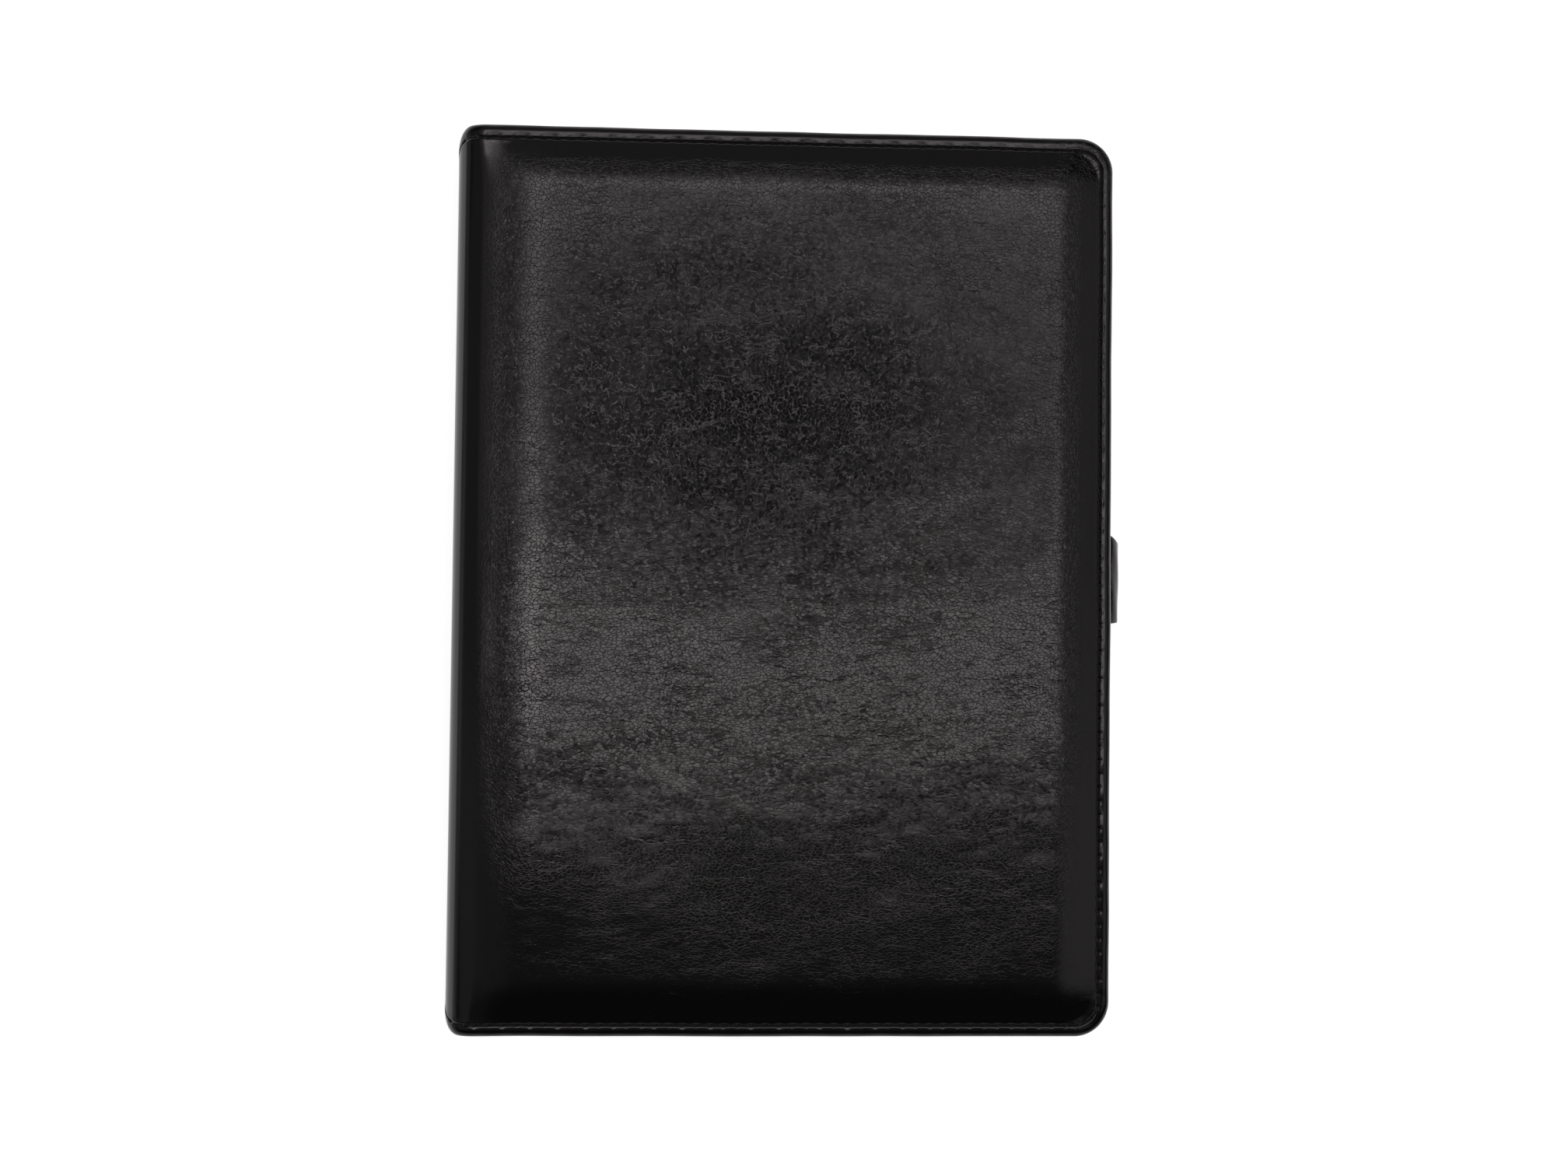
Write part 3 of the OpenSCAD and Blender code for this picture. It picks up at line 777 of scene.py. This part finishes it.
def cover_leather():
    """Glossy black leather: pebbled grain with matt creases, smooth where it is stretched. The creases' darker
    colour is painted shade.
    """
    material, tree, shader = new_material("cover_leather")
    n = Nodes(tree)
    at = n.flat_mm()
    loose = n.add("Attribute", attribute_name="grain").outputs["Fac"]
    warp = n.add("TexNoise", {"Vector": at, "Scale": 0.30, "Detail": 3.0}).outputs["Color"]
    warped = n.add("VectorMath", {0: warp, 1: (3.0, 3.0, 0.0), 2: at},
                   operation="MULTIPLY_ADD").outputs[0]

    # Each cell of the grain leans its own way, with a crease round it.
    cell_at = n.stretch(warped, 0.95, 1.05)
    to_edge = n.add("TexVoronoi", {"Vector": cell_at, "Scale": 1.0},
                    feature="DISTANCE_TO_EDGE").outputs["Distance"]
    cell = n.add("TexVoronoi", {"Vector": cell_at, "Scale": 1.0}, feature="F1").outputs
    from_middle = n.vector("SUBTRACT", cell_at, cell["Position"])
    lean = n.vector("SUBTRACT", cell["Color"], (0.5, 0.5, 0.5))
    tilt = n.vector("DOT_PRODUCT", from_middle, lean, "Value")
    crease = n.smooth_span(to_edge, 0.095, 0.0)

    # Long thin folds run mostly across the cover.
    folds = n.noise(n.stretch(warped, 0.045, 0.16), 1.0, 3.0, 0.6)
    fold_line = n.peak(folds, 0.5, 0.018)
    fold_line = n.times(fold_line, n.span(n.noise(warped, 0.09, 2.0), 0.42, 0.58))

    patches = n.span(n.noise(at, 0.05, 3.0), 0.3, 0.7, 0.55, 1.1)
    grain = n.times(loose, patches)
    creases_matt_and_shaded = n.times(n.math("MAXIMUM", crease, fold_line), grain)
    height = n.minus(n.times(tilt, 0.032), n.times(crease, 0.027))
    height = n.minus(height, n.times(fold_line, 0.04))
    polish = n.span(n.noise(at, 0.03, 4.0), 0.35, 0.65, 0.10, 0.07)
    # The creases and fold lines are matt, and their base colour is painted darker: painted shade in them.
    n.feed(shader, "Base Color", n.mix(creases_matt_and_shaded, (0.0046, 0.0040, 0.0039, 1), (0.0015, 0.0013, 0.0013, 1)))
    n.feed(shader, "Roughness", n.plus(polish, n.times(creases_matt_and_shaded, 0.07)))
    n.feed(shader, "Normal", n.bump(n.times(height, grain), 1.0))
    n.feed(shader, "Specular Tint", (1.0, 0.935, 0.94, 1))
    return material


def thread_material():
    """Waxed black thread with a fine twist."""
    material, tree, shader = new_material("thread")
    n = Nodes(tree)
    twist = n.add("TexWave", {"Vector": n.object_mm(), "Scale": 1.4, "Distortion": 0.6},
                  bands_direction="DIAGONAL").outputs["Fac"]
    n.feed(shader, "Base Color", n.mix(twist, (0.0035, 0.0033, 0.0033, 1), (0.009, 0.0085, 0.0085, 1)))
    n.feed(shader, "Roughness", n.span(twist, 0, 1, 0.62, 0.5))
    n.feed(shader, "Normal", n.bump(twist, 0.05))
    n.feed(shader, "Specular IOR Level", 0.2)
    return material


def lining_material():
    """A fine plain weave."""
    material, tree, shader = new_material("lining_cloth")
    n = Nodes(tree)
    at = n.flat_mm()
    threads_per_mm = 3.4
    warp, weft = (n.add("TexWave", {"Vector": at, "Scale": threads_per_mm * 0.314, "Distortion": 0.4,
                                    "Detail": 1.0}, bands_direction=way).outputs["Fac"] for way in "XY")
    weave = n.times(warp, weft)
    uneven = n.noise(at, 0.12, 4.0)
    share = n.times(n.span(weave, 0, 1, 0.35, 1.0), n.span(uneven, 0.3, 0.7, 0.7, 1.0))
    n.feed(shader, "Base Color", n.mix(share, (0.012, 0.0115, 0.012, 1), (0.030, 0.029, 0.030, 1)))
    n.feed(shader, "Roughness", n.span(weave, 0, 1, 0.92, 0.78))
    n.feed(shader, "Normal", n.bump(weave, 0.05))
    n.feed(shader, "Specular IOR Level", 0.3)
    return material


def pocket_leather():
    """Thin smooth leather of the pockets and card slots."""
    material, tree, shader = new_material("pocket_leather")
    n = Nodes(tree)
    at = n.object_mm()
    pores = n.add("TexVoronoi", {"Vector": at, "Scale": 1.6}, feature="DISTANCE_TO_EDGE").outputs[0]
    soft = n.noise(at, 0.6, 4.0)
    height = n.plus(n.span(pores, 0, 0.2), n.times(soft, 0.8))
    cloud = n.noise(at, 0.05, 3.0)
    n.feed(shader, "Base Color", n.mix(cloud, (0.010, 0.009, 0.0088, 1), (0.019, 0.0165, 0.016, 1)))
    n.feed(shader, "Roughness", n.span(soft, 0.3, 0.7, 0.42, 0.56))
    n.feed(shader, "Normal", n.bump(height, 0.04))
    return material


def paper_material():
    """Cream paper: leaf edges along the sides, faint ruled lines on the faces."""
    material, tree, shader = new_material("paper")
    n = Nodes(tree)
    at = n.object_mm()
    facing = n.add("SeparateXYZ", {0: n.add("TexCoord").outputs["Normal"]}).outputs[2]
    on_face = n.span(n.math("ABSOLUTE", facing), 0.9, 0.98)
    height_mm = n.add("SeparateXYZ", {0: at}).outputs[1]
    leaf = n.noise(n.stretch(at, 0.02, 0.02, 9.0), 1.0, 2.0)

    half_step, line_w, ruled_half_h = 3.5, 0.12, 92
    line = n.math("LESS_THAN", n.math("PINGPONG", n.plus(height_mm, 300), half_step), line_w)
    ruled = n.math("LESS_THAN", n.math("ABSOLUTE", height_mm), ruled_half_h)
    line = n.times(n.times(line, ruled), on_face)

    fibre = n.noise(at, 1.5, 4.0)
    face = n.mix(fibre, (0.78, 0.74, 0.63, 1), (0.86, 0.82, 0.72, 1))
    edge = n.mix(n.span(leaf, 0.35, 0.65), (0.55, 0.52, 0.44, 1), (0.88, 0.84, 0.75, 1))
    colour = n.mix(n.times(line, 0.45), n.mix(on_face, edge, face), (0.42, 0.47, 0.55, 1))
    depth = n.plus(n.times(leaf, n.minus(1.0, on_face)), n.times(fibre, 0.15))
    n.feed(shader, "Base Color", colour)
    n.feed(shader, "Roughness", n.span(fibre, 0.3, 0.7, 0.82, 0.92))
    n.feed(shader, "Normal", n.bump(depth, 0.12))
    return material


def mottled(name, low, high, scale, roughness, depth):
    """Card, board and foam: two close colours, fine grain and a little bump."""
    material, tree, shader = new_material(name)
    n = Nodes(tree)
    fleck = n.noise(n.object_mm(), scale, 5.0, 0.65)
    n.feed(shader, "Base Color", n.mix(n.span(fleck, 0.35, 0.65), (*low, 1), (*high, 1)))
    n.feed(shader, "Roughness", n.span(fleck, 0.3, 0.7, roughness - 0.06, roughness + 0.06))
    n.feed(shader, "Normal", n.bump(fleck, depth))
    return material


def paint(obj, material):
    """Leaves an object with this one material."""
    obj.data.materials.clear()
    obj.data.materials.append(material)


# ---------------------------------------------------------------- building the pieces

looks = {
    "cover_leather": cover_leather(),
    "pocket_leather": pocket_leather(),
    "lining": lining_material(),
    "thread": thread_material(),
    "foam": mottled("foam", (0.62, 0.59, 0.50), (0.72, 0.69, 0.60), 1.8, 0.9, 0.10),
    "board": mottled("board", (0.22, 0.19, 0.14), (0.32, 0.28, 0.21), 2.2, 0.85, 0.04),
    "notebook_card": mottled("notebook_card", (0.030, 0.031, 0.036), (0.046, 0.046, 0.052),
                             1.1, 0.62, 0.03),
    "paper": paper_material(),
}
slot_of = {p["node"]: p["material_slot"] for p in frame["record"]["subparts"]}
for node, obj in frame["nodes"].items():
    paint(obj, looks[slot_of[node]])


def show(piece, slot, *nodes):
    """Gives a piece the look of its slot and puts it in the place of those CAD nodes."""
    paint(piece, looks[slot])
    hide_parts(*nodes)


def across_fold(piece):
    """Bakes a wrapped piece's place into its mesh."""
    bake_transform(piece)


for side_name, is_back in (("front", False), ("back", True)):
    skin = cover_skin(side_name + "_cover_skin", 71 if is_back else 11, is_back)
    sewn = thread(side_name + "_thread", is_back)
    cloth = lining(side_name + "_lining_cloth", is_back)
    show(skin, "cover_leather", side_name + "_leather")
    show(sewn, "thread", side_name + "_stitching")
    show(cloth, "lining", side_name + "_lining")
    if not is_back:
        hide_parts("spine_leather")
        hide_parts("spine_stitching")
        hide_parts("spine_lining")
    for piece in (skin, sewn, cloth):
        across_fold(piece)

for side_name, is_back in (("front", False), ("back", True)):
    sheet, sewn, size = pocket(side_name, is_back)
    show(sheet, "pocket_leather", side_name + "_sleeve")
    show(sewn, "thread", side_name + "_sleeve_stitching")
    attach(sheet, side_name)
    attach(sewn, side_name)

for k in (1, 2, 3):
    sheet, size = card_slot(k)
    show(sheet, "pocket_leather", f"card_slot_{k}")
    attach(sheet, "front")

row_low, row_high = box_mm("card_slot_stitching")
sewn = sewn_row("card_slot_thread", [row_low[0] + SLOT_ROW_HALF, row_high[0] - SLOT_ROW_HALF],
                row_low[1], row_high[1], inner_z - row_low[2], 0.09, False)
show(sewn, "thread", "card_slot_stitching")
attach(sewn, "front")

ring = loop_ring()
show(ring, "cover_leather", "pen_loop")
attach(ring, "pen_loop")
root = loop_root()
show(root, "cover_leather", "pen_loop_tab")
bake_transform(root)


# ---------------------------------------------------------------- floor, light and camera

def pale_floor():
    """A plain floor, bright enough to look white as in the photo."""
    edge = 1.5                           # metres from the middle
    mesh = bpy.data.meshes.new("floor")
    mesh.from_pydata([(-edge, -edge, 0), (edge, -edge, 0), (edge, edge, 0), (-edge, edge, 0)],
                     [], [(0, 1, 2, 3)])
    floor = bpy.data.objects.new("floor", mesh)
    bpy.context.scene.collection.objects.link(floor)
    material, _, shader = new_material("floor")
    shader.inputs["Base Color"].default_value = (0.8, 0.8, 0.8, 1)
    shader.inputs["Roughness"].default_value = 0.9
    shader.inputs["Emission Color"].default_value = (1, 1, 1, 1)
    shader.inputs["Emission Strength"].default_value = 0.78
    paint(floor, material)
    return floor


def studio_light():
    """A studio painted in the sky, by the slope of each direction: along = x / z and up = y / z.

    One wide soft box hangs overhead, with the dark shape of the camera stand in it; smaller lights
    stand beside it, and the walls are pale."""
    world = bpy.data.worlds.new("studio")
    world.use_nodes = True
    n = Nodes(world.node_tree)
    way = n.add("SeparateXYZ", {0: n.add("TexCoord").outputs["Generated"]}).outputs
    rise = n.math("MAXIMUM", way[2], 0.02)
    along, up = n.math("DIVIDE", way[0], rise), n.math("DIVIDE", way[1], rise)

    # The box is brighter on its left, dies away slowly at the head and more quickly at the foot.
    box = n.smooth_span(n.math("ABSOLUTE", n.minus(along, 0.02)), 0.50, 0.24)
    box = n.times(box, n.plus(n.times(n.peak(along, -0.24, 0.14), 0.35), 1.0))
    box = n.times(box, n.plus(n.times(n.smooth_span(up, 0.62, 0.36), 0.9), 0.10))
    box = n.times(box, n.smooth_span(up, -0.13, -0.01))

    # In front of it stands the oval shadow of the stand, with a lamp below it and a bright rim above.
    stand_x = n.math("DIVIDE", n.minus(along, 0.03), 0.19)
    stand_y = n.math("DIVIDE", n.minus(up, 0.125), 0.115)
    stand = n.plus(n.math("POWER", stand_x, 2.0), n.math("POWER", stand_y, 2.0))
    stand = n.math("EXPONENT", n.times(n.math("POWER", stand, 1.35), -1.0))
    box = n.times(box, n.minus(1.0, n.times(stand, 0.97)))
    lamp = n.times(n.smooth_span(up, 0.14, -0.01), n.span(along, 0.05, 0.30, 1.15, 0.5))
    rim = n.times(n.peak(up, 0.34, 0.10), 0.4)
    box = n.times(box, n.plus(n.plus(lamp, rim), 1.0))

    # Weaker lights to the right and left, and a glow low on the left.
    right = n.times(n.smooth_span(along, 0.30, 0.55), n.smooth_span(along, 1.25, 0.9))
    left = n.times(n.smooth_span(along, -0.30, -0.55), 0.40)
    beside = n.times(n.smooth_span(up, -0.55, -0.28), n.smooth_span(up, 0.7, 0.4))
    glow = n.times(n.peak(along, -0.52, 0.25), n.smooth_span(up, -0.03, 0.10))
    sides = n.plus(n.times(n.plus(right, left), beside), n.times(glow, 0.5))

    # Pale walls all round, and a faint haze where the box ends at the foot.
    walls = n.times(n.smooth_span(way[2], 0.42, 0.25), n.span(way[0], -0.8, 0.2, 0.25, 0.7))
    walls = n.plus(walls, n.times(n.smooth_span(up, -1.05, -1.5), 0.2))
    haze = n.times(n.smooth_span(up, -0.55, -0.22), n.smooth_span(up, 0.02, -0.10))
    dim = n.plus(n.times(n.smooth_span(up, -0.7, -0.1), 0.012), n.times(haze, 0.06))
    light = n.times(n.plus(box, n.times(sides, 0.22)), 1.45)
    background = world.node_tree.nodes["Background"]
    n.feed(background, "Color", (1.0, 1.0, 1.0, 1))
    n.feed(background, "Strength", n.plus(n.plus(light, walls), n.plus(dim, 0.02)))
    bpy.context.scene.world = world


def photo_camera():
    """A camera at the photo's angle: almost straight above, turned and tilted a little."""
    sensor = 36.0
    focal_share = 2200 / 2016            # focal length over the frame's width
    data = bpy.data.cameras.new("camera")
    data.sensor_width = sensor
    data.lens = sensor * focal_share
    camera = bpy.data.objects.new("camera", data)
    cover_mid = np.array([(spine_x + fore_x) / 2, 0, edge_z - edge_t / 2])
    camera.location = Vector((cover_mid + [-18.9, -14.4, 419.1]) * MM)
    turn = Vector((math.radians(1.70), math.radians(-2.645), math.radians(0.655)))
    camera.rotation_mode = "QUATERNION"
    camera.rotation_quaternion = Quaternion(turn.normalized(), turn.length)
    bpy.context.scene.collection.objects.link(camera)
    bpy.context.scene.camera = camera


pale_floor()
studio_light()
photo_camera()
bpy.context.scene.view_settings.view_transform = "Standard"
